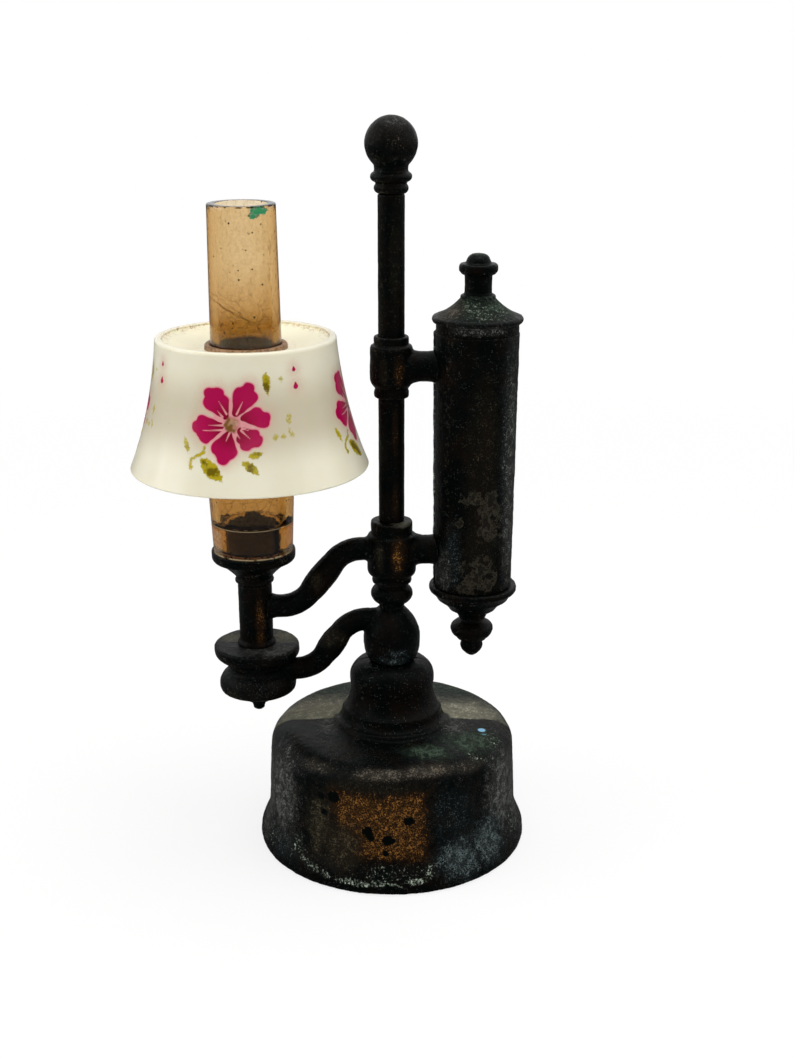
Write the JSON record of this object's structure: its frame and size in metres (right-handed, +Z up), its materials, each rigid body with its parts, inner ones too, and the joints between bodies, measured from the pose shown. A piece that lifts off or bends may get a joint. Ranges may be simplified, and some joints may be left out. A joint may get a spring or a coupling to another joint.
{
  "type": "miniature oil lamp",
  "caption": "Miniature oil lamp on a bell base: a post with a ball finial carries an oil tank on one side and a burner with chimney and flared shade on the other.",
  "frame": {"origin": "centre of the bell base's foot, on the table, on the post's axis", "axes": "+Z up the post, +X towards the oil tank, -X towards the burner, -Y towards the viewer"},
  "size_m": [0.0541, 0.0383, 0.0998],
  "materials": {
    "casting": "dark patinated casting, worn to copper in places",
    "post": "dark patina with a worn brown streak",
    "fastener": "plain",
    "chimney_plastic": "clear amber plastic, dulled",
    "ring_plastic": "brown plastic",
    "shade_plastic": "milk-white plastic with printed flowers"
  },
  "bodies": {
    "lamp": {"base_front_shell": "casting", "base_rear_shell": "casting", "post_rod": "post", "post_washer": "fastener", "post_nut": "fastener", "lower_arm_front": "casting", "lower_arm_rear": "casting", "pan_nut": "casting", "knob_ring": "casting", "lower_sleeve": "casting", "upper_sleeve": "casting", "ball_finial": "casting", "burner_column": "casting", "burner_cup": "casting", "burner_peg": "casting", "wick_dome": "casting", "tank_front_shell": "casting", "tank_rear_shell": "casting", "tank_bottom_cap": "casting", "tank_drip_finial": "casting"},
    "chimney": {"chimney": "chimney_plastic"},
    "shade_ring": {"shade_ring": "ring_plastic"},
    "shade": {"shade": "shade_plastic"},
    "lid": {"tank_lid": "casting", "lid_knob": "casting"}
  },
  "joints": [
    {"name": "chimney_lift", "type": "slide", "parent": "lamp", "child": "chimney", "axis": [0, 0, 1], "range_m": [0, 0.008]},
    {"name": "shade_lift", "type": "slide", "parent": "chimney", "child": "shade_ring", "axis": [0, 0, 1], "range_m": [0, 0.02]},
    {"name": "shade_turn", "type": "hinge", "parent": "shade_ring", "child": "shade", "pos_m": [-0.0189, 0, 0.0703], "axis": [0, 0, 1], "continuous": true},
    {"name": "lid_lift", "type": "slide", "parent": "lamp", "child": "lid", "axis": [0, 0, 1], "range_m": [0, 0.008]}
  ]
}
